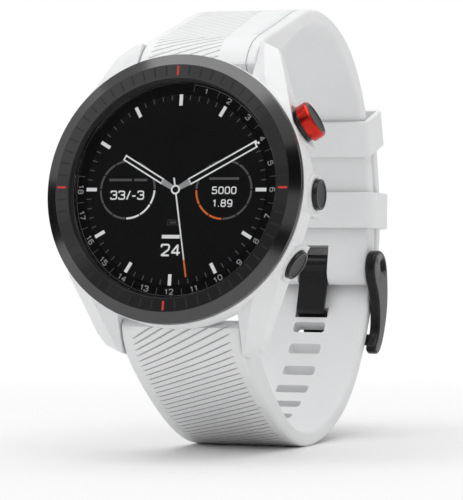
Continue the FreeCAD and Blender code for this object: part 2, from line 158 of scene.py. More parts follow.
def lathe(name, profile, steps=192):
    """Closed solid turned round the dial's axis from a closed line of (radius, depth) points."""
    points, faces = [], []
    count = len(profile)
    for i in range(steps):
        a = 2 * math.pi * i / steps
        for r, d in profile:
            points.append((r * math.sin(a), d, r * math.cos(a)))
    for i in range(steps):
        j = (i + 1) % steps
        for k in range(count):
            m = (k + 1) % count
            faces.append((i * count + k, i * count + m, j * count + m, j * count + k))
    return weld(mesh_piece(name, points, faces))


BUTTON_DEPTH = 7.3               # of the button axes, behind the bezel's top face


def on_button(piece, angle):
    """Turn a piece that was lathed round the dial's axis onto a button's axis, its face outward."""
    aim = Matrix.Rotation(-math.radians(angle), 4, "Y") @ Matrix.Rotation(-math.radians(90), 4, "Z")
    piece.data.transform(Matrix.Translation((0, BUTTON_DEPTH, 0)) @ aim)
    return weld(piece)


# ------------------------------------------------------------------ node helpers

class Web:
    """Adds nodes to a tree and fills their sockets, in order or by name.

    A socket takes a value, another socket, or a node, which stands for its first output.
    """

    def __init__(self, tree):
        self.tree = tree

    def node(self, kind, *values, settings=(), **named):
        made = self.tree.nodes.new(kind)
        for key, value in dict(settings).items():
            setattr(made, key, value)
        pairs = list(zip(made.inputs, values))
        pairs += [(made.inputs[key.replace("_", " ")], value) for key, value in named.items()]
        for socket, value in pairs:
            if isinstance(value, (bpy.types.NodeSocket, bpy.types.Node)):
                self.link(value, socket)
            elif value is not None:
                socket.default_value = value
        return made

    def link(self, start, end):
        self.tree.links.new(start.outputs[0] if isinstance(start, bpy.types.Node) else start, end)

    def maths(self, operation, *values):
        return self.node("ShaderNodeMath", *values, settings={"operation": operation}).outputs[0]

    def vector(self, x=0.0, y=0.0, z=0.0):
        return self.node("ShaderNodeCombineXYZ", x, y, z).outputs[0]


def open_tree(name, kind, inputs, outputs):
    """A node group with named sockets, and the web to fill it with."""
    tree = bpy.data.node_groups.new(name, kind)
    for way, sockets in (("INPUT", inputs), ("OUTPUT", outputs)):
        for label, socket, *value in sockets:
            made = tree.interface.new_socket(name=label, in_out=way, socket_type=socket)
            if value:
                made.default_value = value[0]
    web = Web(tree)
    start = web.node("NodeGroupInput")
    end = web.node("NodeGroupOutput")
    return tree, web, start.outputs, end.inputs


def grow(piece, tree, **values):
    """Run a Geometry Nodes tree on a piece with these inputs, and keep the result as plain mesh."""
    run = piece.modifiers.new(tree.name, "NODES")
    run.node_group = tree
    for item in tree.interface.items_tree:
        label = item.name.replace(" ", "_")
        if item.in_out == "INPUT" and label in values:
            run[item.identifier] = values[label]
    return bake(piece)


FLOAT, INT = "NodeSocketFloat", "NodeSocketInt"
GEOMETRY, MATERIAL = "NodeSocketGeometry", "NodeSocketMaterial"


# ------------------------------------------------------------------ finishes

def make_surface_play():
    """Slow patches and fine grain, which every moulded, cast or coated finish shares."""
    tree, web, given, result = open_tree(
        "surface_play", "ShaderNodeTree",
        [("Patch Size", FLOAT, 60.0), ("Grain Size", FLOAT, 3000.0)],
        [("Patches", FLOAT), ("Grain", FLOAT)])
    place = web.node("ShaderNodeTexCoord").outputs["Object"]
    slow = web.node("ShaderNodeTexNoise", Vector=place, Scale=given["Patch Size"], Detail=3.0)
    fine = web.node("ShaderNodeTexNoise", Vector=place, Scale=given["Grain Size"], Detail=2.0)
    web.link(slow, result["Patches"])
    web.link(fine, result["Grain"])
    return tree


PAINTED_SHEEN_TURN = math.radians(30)    # where the painted sheen is brightest, before 12 o'clock
# the painted sheen's share of the tone, beside the share of the random bands
PAINTED_SHEEN_SHARE, BAND_SHARE, TONE_BASE = 0.24, 0.5, 0.25


def make_turned_lines():
    """Fine lines left by a lathe, round the dial's axis, with uneven bands and a painted sheen: a tone
    that is lighter towards one side of the dial.
    """
    tree, web, given, result = open_tree(
        "turned_lines", "ShaderNodeTree",
        [("Lines", FLOAT, 9000.0)], [("Lines", FLOAT), ("Bands", FLOAT)])
    place = web.node("ShaderNodeTexCoord").outputs["Object"]
    centred = web.node("ShaderNodeVectorMath", place, tuple(DIAL_CENTRE),
                       settings={"operation": "SUBTRACT"})
    level = web.node("ShaderNodeMapping", centred, settings={"vector_type": "POINT"})
    level.inputs["Rotation"].default_value = (LEAN, 0, 0)
    split = web.node("ShaderNodeSeparateXYZ", level).outputs
    across = web.maths("POWER", split[0], 2.0)
    upward = web.maths("POWER", split[2], 2.0)
    radius = web.maths("SQRT", web.maths("ADD", across, upward))
    lines = web.vector(web.maths("MULTIPLY", radius, given["Lines"]))
    fine = web.node("ShaderNodeTexNoise", Vector=lines, Scale=1.0, Detail=2.0)
    around = web.maths("ARCTAN2", split[0], split[2])
    bands = web.node("ShaderNodeTexNoise", Vector=web.vector(around, radius), Scale=2.2, Detail=1.0)
    web.link(fine, result["Lines"])
    # painted sheen: a slow swing from light to dark round the dial, standing in for reflected light
    painted_sheen = web.maths("COSINE", web.maths("ADD", around, PAINTED_SHEEN_TURN))
    mixed = web.maths("ADD", web.maths("MULTIPLY", bands, BAND_SHARE),
                      web.maths("MULTIPLY", painted_sheen, PAINTED_SHEEN_SHARE))
    web.link(web.maths("ADD", mixed, TONE_BASE), result["Bands"])
    return tree


SURFACE_PLAY = make_surface_play()
LINES_AND_PAINTED_SHEEN = make_turned_lines()


def empty_material(name):
    """A material with no nodes yet, and the web to fill it with."""
    made = bpy.data.materials.new(name)
    made.use_nodes = True
    made.node_tree.nodes.clear()
    return made, Web(made.node_tree)


NOISE_LOW, NOISE_HIGH = 0.3, 0.7     # the part of a noise that is stretched from one end to the other


def finish(name, light, dark, rough, grain=3000.0, height=0.00001, patch=60.0, lines=0.0, **constants):
    """A finish between two tones and two roughnesses; constants sit on the shader itself."""
    made, web = empty_material(name)
    shader = web.node("ShaderNodeBsdfPrincipled", **constants)
    play = web.node("ShaderNodeGroup", settings={"node_tree": SURFACE_PLAY})
    play.inputs["Patch Size"].default_value = patch
    play.inputs["Grain Size"].default_value = grain
    tone, texture = play.outputs["Patches"], play.outputs["Grain"]
    # with turned lines, the mix between the two tones carries a painted sheen as well as random bands
    if lines:
        turned = web.node("ShaderNodeGroup", settings={"node_tree": LINES_AND_PAINTED_SHEEN})
        turned.inputs["Lines"].default_value = lines
        tone, texture = turned.outputs["Bands"], turned.outputs["Lines"]
    colour = web.node("ShaderNodeMix", settings={"data_type": "RGBA"})
    share = web.node("ShaderNodeMapRange", tone, NOISE_LOW, NOISE_HIGH)
    web.link(share, colour.inputs[0])
    colour.inputs[6].default_value = (*light, 1)
    colour.inputs[7].default_value = (*dark, 1)
    web.link(colour.outputs[2], shader.inputs["Base Color"])
    gloss = web.node("ShaderNodeMapRange", texture, NOISE_LOW, NOISE_HIGH, *rough)
    web.link(gloss, shader.inputs["Roughness"])
    bump = web.node("ShaderNodeBump", Distance=height, Height=texture, Strength=0.6)
    web.link(bump, shader.inputs["Normal"])
    web.node("ShaderNodeOutputMaterial", shader)
    return made


LENS_ROUGH = (0.03, 0.07)
LENS_IOR = 1.25                  # coated glass, which reflects less than bare glass


def make_lens_glass():
    """Clear cover glass: it lets the display through and reflects at its surface."""
    made, web = empty_material("lens_glass")
    clear = web.node("ShaderNodeBsdfTransparent", (0.97, 0.975, 0.98, 1))
    shine = web.node("ShaderNodeBsdfGlossy", (1, 1, 1, 1), 0.04)
    smudge = web.node("ShaderNodeTexNoise", Scale=90.0, Detail=3.0,
                      Vector=web.node("ShaderNodeTexCoord").outputs["Object"])
    wiped = web.node("ShaderNodeMapRange", smudge, NOISE_LOW, NOISE_HIGH, *LENS_ROUGH)
    web.link(wiped, shine.inputs["Roughness"])
    edge = web.node("ShaderNodeFresnel", LENS_IOR)
    mixed = web.node("ShaderNodeMixShader", edge, clear, shine)
    web.node("ShaderNodeOutputMaterial", mixed)
    return made


def make_display_print(name, colour, glow):
    """A lit colour of the display or a print on the dial, slightly uneven."""
    made = finish(name, colour, tuple(0.93 * c for c in colour), (0.5, 0.6), grain=5000, height=0.000002,
                  Emission_Strength=glow)
    shader = made.node_tree.nodes["Principled BSDF"]
    shader.inputs["Emission Color"].default_value = (*colour, 1)
    return made


WHITE = (0.83, 0.835, 0.84)
SHADE = (0.78, 0.785, 0.79)
silicone = finish("white_silicone", WHITE, SHADE, (0.46, 0.6), grain=4200, height=0.000006,
                  Specular_IOR_Level=0.4, Sheen_Weight=0.06)
# darker silicone for the grooves and the seam line: painted shade in the recesses
groove_painted_shade = finish("white_silicone_groove", (0.58, 0.583, 0.586), (0.52, 0.523, 0.526), (0.6, 0.7),
                         grain=4200, height=0.000006, Specular_IOR_Level=0.25)
polymer = finish("white_polymer", WHITE, SHADE, (0.3, 0.42), grain=6000, height=0.000003,
                 Specular_IOR_Level=0.5)
# the tick ring and the facet take turned lines, so their tones carry a painted sheen round the dial
ceramic_flat = finish("ceramic_tick_ring", (0.016, 0.016, 0.017), (0.07, 0.07, 0.072), (0.28, 0.42),
                      lines=14000.0, height=0.000004, Metallic=0.6)
ceramic_facet = finish("ceramic_facet", (0.085, 0.085, 0.087), (0.12, 0.12, 0.122), (0.1, 0.2),
                       lines=9000.0, height=0.000002, Metallic=1.0)
ceramic_side = finish("ceramic_side", (0.25, 0.25, 0.255), (0.2, 0.2, 0.205), (0.12, 0.2),
                      height=0.000002, Metallic=1.0)
tick_black = finish("tick_black", (0.006, 0.006, 0.007), (0.01, 0.01, 0.011), (0.4, 0.5))
# red tick paint with a faint painted glow from emission
tick_red = finish("tick_red", (0.5, 0.025, 0.018), (0.42, 0.02, 0.015), (0.35, 0.5),
                  Emission_Strength=0.15)
tick_red.node_tree.nodes["Principled BSDF"].inputs["Emission Color"].default_value = (0.8, 0.05, 0.03, 1)
display_black = finish("display_black", (0.0062, 0.0062, 0.0066), (0.0048, 0.0048, 0.0052), (0.4, 0.5),
                       grain=7000, height=0.000001, Specular_IOR_Level=0.12)
ring_black = finish("ring_black", (0.003, 0.003, 0.0033), (0.0045, 0.0045, 0.005), (0.3, 0.4),
                    height=0.000002, Specular_IOR_Level=0.1)
rubber = finish("seal_rubber", (0.03, 0.03, 0.03), (0.02, 0.02, 0.02), (0.6, 0.75), height=0.000015)
button_black = finish("button_black", (0.006, 0.0062, 0.0065), (0.009, 0.0092, 0.0096), (0.14, 0.24),
                      grain=5000, height=0.000003, Specular_IOR_Level=0.4)
button_face = finish("button_face", (0.016, 0.0165, 0.017), (0.01, 0.0105, 0.011), (0.4, 0.5),
                     grain=9000, height=0.00003, Specular_IOR_Level=0.35)
red_metal = finish("anodised_red", (0.62, 0.03, 0.018), (0.42, 0.015, 0.01), (0.12, 0.26),
                   grain=900, patch=420, height=0.000004, Metallic=0.9)
buckle_coat = finish("buckle_black", (0.0035, 0.0035, 0.0038), (0.0055, 0.0055, 0.006), (0.18, 0.28),
                     grain=6500, height=0.000003, Specular_IOR_Level=0.3)
steel = finish("plain_steel", (0.6, 0.6, 0.61), (0.5, 0.5, 0.51), (0.25, 0.4), Metallic=1.0)
gold = finish("gold_plate", (0.9, 0.66, 0.28), (0.8, 0.55, 0.2), (0.2, 0.32), Metallic=1.0)
window = finish("sensor_window", (0.012, 0.012, 0.014), (0.02, 0.02, 0.022), (0.05, 0.09),
                height=0.0, Coat_Weight=0.6)
board = finish("circuit_board", (0.02, 0.16, 0.07), (0.012, 0.1, 0.045), (0.3, 0.45), patch=900)
dark_board = finish("sensor_board", (0.02, 0.02, 0.02), (0.05, 0.05, 0.045), (0.35, 0.5), patch=900)
shield = finish("tinned_shield", (0.72, 0.72, 0.7), (0.6, 0.6, 0.58), (0.3, 0.45), Metallic=1.0)
foil = finish("battery_foil", (0.55, 0.56, 0.58), (0.45, 0.46, 0.48), (0.3, 0.5), grain=1200,
              height=0.00003, Metallic=0.85)
film = finish("flex_film", (0.55, 0.25, 0.05), (0.42, 0.18, 0.03), (0.25, 0.4))
moulding = finish("frame_moulding", (0.06, 0.06, 0.065), (0.08, 0.08, 0.085), (0.5, 0.65),
                  height=0.00002)
lens_glass = make_lens_glass()
print_white = make_display_print("display_white", (0.82, 0.82, 0.81), 0.3)
print_grey = make_display_print("display_grey", (0.13, 0.13, 0.132), 0.03)
print_soft = make_display_print("display_soft_grey", (0.42, 0.42, 0.425), 0.1)
print_dim = make_display_print("display_dim", (0.06, 0.06, 0.062), 0.01)
print_orange = make_display_print("display_orange", (0.82, 0.17, 0.02), 0.15)

NODE_FINISHES = {
    "lens_gasket": rubber, "chapter_ring": ring_black, "back_gasket": rubber,
    "display_module": display_black, "inner_frame": moulding, "display_flex": film,
    "antenna_ring": shield, "mainboard": board, "shield_cans": shield, "battery": foil,
    "vibration_motor": shield, "sensor_board": dark_board, "charge_contacts": gold,
    "clip_top": steel, "clip_middle": steel, "clip_bottom": steel, "stem_seals": rubber,
    "seal_washers": steel, "button_springs": steel, "side_switches": moulding, "latch_springs": steel}
for node, material in NODE_FINISHES.items():
    mesh = NODES[node].data
    mesh.materials.clear()
    mesh.materials.append(material)
BODIES = frame["record"]["behaviour"]["bodies"]
BODY_OF = {node: body for body, nodes in BODIES.items() for node in nodes}


# ------------------------------------------------------------------ dial marks

LEAVE_NONE = 1000                # a step past every count, so that no mark is left out


def make_round_marks():
    """Bars of one size set out round the dial, with every Nth one left out if asked."""
    tree, web, given, result = open_tree(
        "marks_round_dial", "GeometryNodeTree",
        [("Geometry", GEOMETRY), ("Count", INT, 60), ("Step", FLOAT, 0.1), ("Start", FLOAT, 0.0),
         ("Radius", FLOAT, 10.0), ("Length", FLOAT, 1.0), ("Width", FLOAT, 0.2),
         ("Thickness", FLOAT, 0.02), ("Depth", FLOAT, 2.27), ("Leave Out", INT, LEAVE_NONE),
         ("Finish", MATERIAL)],
        [("Geometry", GEOMETRY)])
    places = web.node("GeometryNodeMeshLine", given["Count"])
    places.inputs["Offset"].default_value = (0, 0, 0)
    size = web.vector(given["Width"], given["Thickness"], given["Length"])
    bar = web.node("GeometryNodeMeshCube", size)
    out = web.maths("ADD", given["Radius"], web.maths("DIVIDE", given["Length"], 2.0))
    moved = web.node("GeometryNodeTransform", bar, Translation=web.vector(0.0, given["Depth"], out))
    index = web.node("GeometryNodeInputIndex")
    turn = web.maths("ADD", given["Start"], web.maths("MULTIPLY", index, given["Step"]))
    kept = web.maths("GREATER_THAN", web.maths("MODULO", index, given["Leave Out"]), 0.5)
    kept = web.maths("MAXIMUM", kept, web.maths("GREATER_THAN", given["Leave Out"], LEAVE_NONE - 1.0))
    marks = web.node("GeometryNodeInstanceOnPoints", Points=places, Selection=kept,
                     Instance=moved, Rotation=web.vector(0.0, turn, 0.0))
    real = web.node("GeometryNodeRealizeInstances", marks)
    painted = web.node("GeometryNodeSetMaterial", real, Material=given["Finish"])
    web.link(painted, result["Geometry"])
    return tree


ROUND_MARKS = make_round_marks()
PRINT_DEPTH = 2.265              # of the display's face and the numbered ring


def round_marks(name, slot, material, **values):
    piece = grow(mesh_piece(name, [(0, 0, 0)], []), ROUND_MARKS, Finish=material, **values)
    return settle(piece, "watch", material=material)


def outline_prism(outlines, front, thick):
    """Points and faces of flat shapes in the dial's plane; each outline is a list of (x, t)."""
    points, faces = [], []
    for outline in outlines:
        base, n = len(points), len(outline)
        points += [(x, front, t) for x, t in outline] + [(x, front + thick, t) for x, t in outline]
        faces.append([base + i for i in range(n)])
        faces.append([base + n + i for i in reversed(range(n))])
        faces += [(base + i, base + n + i, base + n + (i + 1) % n, base + (i + 1) % n) for i in range(n)]
    return points, faces


def printed(name, outlines, material, front=PRINT_DEPTH, thick=0.015):
    points, faces = outline_prism(outlines, front, thick)
    return settle(weld(mesh_piece(name, points, faces), 1e-5), "watch", material=material)


def band(radius, width, start, sweep, centre=(0, 0), pace=2.0):
    """Flat strip of a ring, by degrees clockwise from 12 o'clock."""
    steps = max(2, int(abs(sweep) / pace))
    angles = [math.radians(start + sweep * i / steps) for i in range(steps + 1)]

    def edge(r, order):
        return [(centre[0] + r * math.sin(a), centre[1] + r * math.cos(a)) for a in order]

    return edge(radius + width / 2, angles) + edge(radius - width / 2, reversed(angles))


def strip(start, end, width, end_width=None):
    """Flat bar between two (x, t) places."""
    a, b = Vector(start), Vector(end)
    side = (b - a).normalized().orthogonal()
    first, last = side * width / 2, side * (end_width or width) / 2
    return [tuple(a + first), tuple(b + last), tuple(b - last), tuple(a - first)]


def on_hand(angle, along, across=0.0):
    """The place this far along a hand that points at an angle, in degrees from 12 o'clock."""
    a = math.radians(angle)
    return (along * math.sin(a) + across * math.cos(a), along * math.cos(a) - across * math.sin(a))


def hollow_hand(angle, root, tip, width, line):
    """The outline of a baton hand, as four bars."""
    half = (width - line) / 2
    corners = [on_hand(angle, root, -half), on_hand(angle, tip, -half), on_hand(angle, tip, half),
               on_hand(angle, root, half)]
    bars = []
    for i, corner in enumerate(corners):
        after = corners[(i + 1) % 4]
        run = (Vector(after) - Vector(corner)).normalized() * line / 2
        bars.append(strip(Vector(corner) - run, Vector(after) + run, line))
    return bars


# Figures drawn with a round pen, in a cell one wide and one high: closed or open lines of points.
PEN_LINES = {
    "0": [(True, [(0, 0), (0, 1), (1, 1), (1, 0)])],
    "1": [(False, [(0.1, 0.74), (0.6, 1), (0.6, 0)])],
    "2": [(False, [(0, 0.76), (0, 1), (1, 1), (1, 0.58), (0, 0), (1.02, 0)])],
    "3": [(False, [(0, 0.78), (0, 1), (0.96, 1), (0.96, 0.53), (0.35, 0.53)]),
          (False, [(0.35, 0.53), (1, 0.53), (1, 0), (0, 0), (0, 0.22)])],
    "4": [(False, [(0.76, 0), (0.76, 1), (0, 0.25), (1.08, 0.25)])],
    "5": [(False, [(0.94, 1), (0.06, 1), (0.02, 0.54), (1, 0.62), (1, 0), (0, 0), (0, 0.2)])],
    "6": [(False, [(0.92, 1), (0, 1), (0, 0), (1, 0), (1, 0.6), (0.02, 0.6)])],
    "7": [(False, [(0, 1), (1, 1), (0.34, 0)])],
    "8": [(True, [(0.05, 0.53), (0.05, 1), (0.95, 1), (0.95, 0.53)]),
          (True, [(0, 0), (0, 0.53), (1, 0.53), (1, 0)])],
    "9": [(False, [(0.08, 0), (1, 0), (1, 1), (0, 1), (0, 0.4), (0.98, 0.4)])],
    "/": [(False, [(0, -0.06), (1, 1.06)])],
    "-": [(False, [(0, 0.4), (1, 0.4)])],
    ".": [(False, [(0, 0.03), (1, 0.03)])]}
SHARP_TURNS = {"1": (1,), "2": (4,), "4": (1, 2), "7": (1,), "5": (1, 2)}
NARROW_CELLS = {"1": 0.72, "/": 0.55, "-": 0.6, ".": 0.2}
PEN_THICK = 0.014
LEAST_TURN = 0.5                 # keeps a sharp corner's mitre short


def pen_line(points, closed, width):
    """Points and faces of a flat line of one width along (x, t) points, as a thin closed solid."""
    count = len(points)
    out, faces = [], []
    for i, here in enumerate(points):
        before = points[i - 1] if closed or i else here
        after = points[(i + 1) % count] if closed or i < count - 1 else here
        inward, onward = (here - before), (after - here)
        inward = (inward if inward.length > 1e-9 else onward).normalized()
        onward = (onward if onward.length > 1e-9 else inward).normalized()
        mean = (inward + onward).normalized()
        side = Vector((mean.y, -mean.x)) * width / 2 / max(mean.dot(onward), LEAST_TURN)
        left, right_side = here - side, here + side
        out += [(*left, 0), (*right_side, 0), (*right_side, 1), (*left, 1)]
    for i in range(count if closed else count - 1):
        a, b = 4 * i, 4 * ((i + 1) % count)
        faces += [(a + k, b + k, b + (k + 1) % 4, a + (k + 1) % 4) for k in range(4)]
    if not closed:
        faces += [(0, 1, 2, 3), tuple(4 * (count - 1) + k for k in (3, 2, 1, 0))]
    return out, faces


# A line of figures: its middle, each cell's width and height, the gap, the pen's width, degrees turned.
Figures = namedtuple("Figures", "text x t cell height gap pen turned", defaults=(0,))
SOFT_CORNER, SHARP_CORNER = 0.42, 0.06       # radius over the cell's width


def numerals(name, entries, material):
    """One printed piece from several lines of figures."""
    points, faces = [], []
    for text, x, t, cell, height, gap, pen, turned in entries:
        widths = [cell * NARROW_CELLS.get(sign, 1) for sign in text]
        at = -(sum(widths) + gap * (len(text) - 1)) / 2
        a = math.radians(turned)
        for sign, wide in zip(text, widths):
            for closed, line in PEN_LINES[sign]:
                corners = [(at + u * wide, (v - 0.5) * height) for u, v in line]
                sharp = SHARP_TURNS.get(sign, ())
                ends = () if closed else (0, len(line) - 1)
                radii = [0 if i in ends else (SHARP_CORNER if i in sharp else SOFT_CORNER) * cell
                         for i in range(len(line))]
                drawn, sides = pen_line(soft_corner(corners, radii), closed, pen)
                base = len(points)
                points += [(x + u * math.cos(a) + v * math.sin(a), PRINT_DEPTH + w * PEN_THICK,
                            t - u * math.sin(a) + v * math.cos(a)) for u, v, w in drawn]
                faces += [tuple(base + k for k in side) for side in sides]
            at += wide + gap
    return settle(weld(mesh_piece(name, points, faces), 1e-6), "watch", material=material)


HOUR_STEP, MINUTE_STEP = math.radians(30), math.radians(6)
round_marks("hour_bars", "display", print_white, Count=12, Step=HOUR_STEP, Radius=14.62, Length=1.95,
            Width=0.62, Thickness=0.015, Depth=PRINT_DEPTH)
round_marks("minute_marks", "display", print_grey, Count=60, Step=MINUTE_STEP, Radius=15.65,
            Length=0.9, Width=0.16, Thickness=0.012, Depth=PRINT_DEPTH, Leave_Out=5)

# The ring of 18 numbers, each in a cell of 15 degrees: an arc, its dividers and the numbers.
CELLS, CELL_DEGREES = 18, 15
ARC_START, ARC_SWEEP, ARC_R = CELL_DEGREES / 2, CELLS * CELL_DEGREES, 18.35
RING_LINE = 0.1
printed("hole_ring_line", [band(ARC_R, RING_LINE, ARC_START, ARC_SWEEP)], print_grey)
round_marks("hole_ring_dividers", "dial_black", print_grey, Count=CELLS + 1,
            Step=math.radians(CELL_DEGREES), Start=math.radians(ARC_START), Radius=17.15, Length=1.2,
            Width=RING_LINE, Thickness=0.012, Depth=PRINT_DEPTH)
NUMBER_R = 17.62
LAST_OUTWARD = 6                 # the numbers after this one stand the other way up


def hole_number(k):
    turned = CELL_DEGREES * k - (0 if k <= LAST_OUTWARD else 180)
    x, t = on_hand(CELL_DEGREES * k, NUMBER_R)
    return Figures(str(k), x, t, cell=0.66, height=0.84, gap=0.31, pen=0.17, turned=turned)


numerals("hole_numbers", [hole_number(k) for k in range(1, CELLS + 1)], print_soft)
SUB_R, SUB_LINE, SUB_X, SUB_T = 5.0, 0.34, 8.86, -0.02
ARC_GAP = 2.4                    # degrees left open between two arcs


def sub_circle(name, x, bright, material):
    """Ring of twelve arcs, numbered clockwise from 0 at 12 o'clock; the bright ones are lit."""
    arcs = {True: [], False: []}
    for k in range(12):
        arc = band(SUB_R, SUB_LINE, 30 * k + ARC_GAP / 2, 30 - ARC_GAP, (x, SUB_T))
        arcs[k in bright].append(arc)
    printed(name + "_arcs", arcs[True], material)
    printed(name + "_rest", arcs[False], print_grey)


sub_circle("left_circle", -SUB_X, (3, 4, 5), print_white)
sub_circle("right_circle", SUB_X, (6, 7, 8), print_orange)
SMALL = {"cell": 0.78, "height": 1.12, "gap": 0.38, "pen": 0.2}
numerals("left_circle_figures",
         [Figures("33/-3", -SUB_X, -0.97, cell=1.06, height=1.36, gap=0.42, pen=0.24)], print_white)
numerals("right_circle_figures", [Figures("5000", SUB_X + 0.08, -0.12, **SMALL),
                                  Figures("1.89", SUB_X - 0.1, -2.33, **SMALL)], print_white)
numerals("date_figures",
         [Figures("24", -0.22, -10.45, cell=1.4, height=1.85, gap=0.5, pen=0.32)], print_white)
WORD_GAP = 0.45


def word_bars(x, t, widths, height):
    """Plain bars that stand where words would be."""
    bars, at = [], x
    for w in widths:
        bars.append(strip((at, t), (at + w, t), height))
        at += w + WORD_GAP
    return bars


CAPTION_TALL, WEEKDAY_TALL = 0.42, 0.62
printed("caption_bars", word_bars(-12.4, 1.68, (4.2, 2.4), CAPTION_TALL)
        + word_bars(6.1, 1.9, (5.4,), CAPTION_TALL), print_grey)
printed("weekday_bar", word_bars(-1.95, -8.15, (3.3,), WEEKDAY_TALL), print_white)


def battery_sign(x, t, half_wide=0.95, half_tall=0.42, line=0.09):
    """A lying battery: two long sides, two ends that close their corners, and a filled middle."""
    end = half_tall + line / 2
    long_sides = [strip((x - half_wide, t + s * half_tall), (x + half_wide, t + s * half_tall), line)
                  for s in (1, -1)]
    ends = [strip((x + s * half_wide, t - end), (x + s * half_wide, t + end), line) for s in (1, -1)]
    return long_sides + ends + [strip((x - 0.6, t), (x + 0.6, t), 0.4)]


printed("battery_sign", battery_sign(-0.06, -5.69), print_dim)

# Each hand is a root near the hub and a hollow baton from there to its tip; layers lie just apart.
HOUR_ANGLE, MINUTE_ANGLE, SECOND_ANGLE = 299.8, 61.2, 169.0
HAND_DEPTH = PRINT_DEPTH - 0.012
FILL_DEPTH, SECOND_DEPTH, HUB_DEPTH = HAND_DEPTH + 0.004, HAND_DEPTH - 0.008, HAND_DEPTH - 0.012
BATON_FROM, BATON_LINE = 2.9, 0.26
HOUR_TIP, MINUTE_TIP = 11.2, 16.15
SECOND_TAIL, SECOND_TIP_FROM, SECOND_TIP = 2.1, 12.35, 15.35


def along_hand(angle, start, end, width, end_width=None):
    return strip(on_hand(angle, start), on_hand(angle, end), width, end_width)


printed("hand_roots", [along_hand(HOUR_ANGLE, 0.75, 2.95, 0.85, 1.05),
                       along_hand(MINUTE_ANGLE, 0.75, 2.95, 0.85, 1.15)], print_soft, front=HAND_DEPTH)
printed("hand_fills", [along_hand(HOUR_ANGLE, BATON_FROM, HOUR_TIP - 0.1, 0.9),
                       along_hand(MINUTE_ANGLE, BATON_FROM, MINUTE_TIP - 0.05, 1.0)],
        display_black, front=FILL_DEPTH)
printed("hour_hand", hollow_hand(HOUR_ANGLE, BATON_FROM, HOUR_TIP, 1.08, BATON_LINE), print_white,
        front=HAND_DEPTH)
printed("minute_hand", hollow_hand(MINUTE_ANGLE, BATON_FROM, MINUTE_TIP, 1.24, BATON_LINE)
        + [along_hand(MINUTE_ANGLE, 16.5, 16.9, 0.4)], print_white, front=HAND_DEPTH)
printed("second_hand", [strip(on_hand(SECOND_ANGLE + 180, SECOND_TAIL),
                              on_hand(SECOND_ANGLE, SECOND_TIP_FROM), 0.3, 0.22)],
        print_white, front=SECOND_DEPTH)
printed("second_hand_tip", [along_hand(SECOND_ANGLE, SECOND_TIP_FROM, SECOND_TIP, 0.3)], print_orange,
        front=SECOND_DEPTH)
ALL_ROUND = 359.9                # a ring's sweep, left open by a hair so that its ends don't touch
printed("hand_hub", [band(0.68, 0.3, 0, ALL_ROUND, pace=6)], print_white, front=HUB_DEPTH)
printed("hub_eye", [band(0.26, 0.5, 0, ALL_ROUND, pace=12)], display_black, front=HUB_DEPTH)


# ------------------------------------------------------------------ bezel, glass and buttons

LENS_R, LENS_TOP, LENS_BACK = 18.66, 1.1, 2.22
lens = lathe("cover_lens", soft_corner([(0, LENS_TOP), (LENS_R, LENS_TOP), (LENS_R, LENS_BACK),
                                        (0, LENS_BACK)], [0, 0.14, 0.05, 0]))
settle(lens, "watch", ["lens"], lens_glass)

# The bezel's section: a flat top, a sloping facet, a low side, a fine groove and a skirt.
BORE_R, FLAT_R, SIDE_R, GROOVE_FLOOR_R, SKIRT_R = 19.0, 21.36, 23.3, 23.14, 23.38
FACET_END, SIDE_END, SKIRT_START, BEZEL_BACK = 0.9, 1.28, 1.56, 2.0
GROOVE_SLOPE = 0.06
BEZEL_PROFILE = soft_corner(
    [(BORE_R, 0.0), (FLAT_R, 0.0), (SIDE_R, FACET_END), (SIDE_R, SIDE_END),
     (GROOVE_FLOOR_R, SIDE_END + GROOVE_SLOPE), (GROOVE_FLOOR_R, SKIRT_START - GROOVE_SLOPE),
     (SKIRT_R, SKIRT_START), (SKIRT_R, BEZEL_BACK), (BORE_R, BEZEL_BACK)],
    [0.16, 0.1, 0.1, 0.03, 0, 0, 0.08, 0, 0])
bezel = lathe("ceramic_bezel", BEZEL_PROFILE, 256)
FACET_FROM, SIDE_FROM = 21.4, 1.52
for material in (ceramic_facet, ceramic_flat, ceramic_side):
    bezel.data.materials.append(material)
for face in bezel.data.polygons:
    if face.center.y > SIDE_FROM:
        face.material_index = 2
    elif math.hypot(face.center.x, face.center.z) < FACET_FROM:
        face.material_index = 1
settle(bezel, "watch", ["bezel"])

TICK_FROM, TICK_LONG = 19.5, 1.62
round_marks("bezel_ticks", "black_ceramic", tick_black, Count=60, Step=MINUTE_STEP, Radius=TICK_FROM,
            Length=TICK_LONG, Width=0.24, Thickness=0.012, Depth=-0.004, Leave_Out=15)
round_marks("bezel_red_ticks", "black_ceramic", tick_red, Count=4, Step=math.pi / 2, Radius=TICK_FROM,
            Length=TICK_LONG, Width=0.36, Thickness=0.016, Depth=-0.004)

# Along a button's axis, distances run outward from the dial's axis.
CAP_R, TOP_CAP_R, STEM_R, STEM_END = 2.65, 2.95, 1.0, 17.0
DISH, DISH_CROWN = 0.16, 0.02    # how deep a cap's face is dished, and how far its middle stands up
CAP_BACK, TOP_CAP_BACK, TOP_CAP_FACE = 22.9, 25.2, 26.5
BUTTON_PLACES = {"top": 30.0, "middle": 0.0, "bottom": -30.0}
CAP_FACES = {"middle": 24.75, "bottom": 24.6}


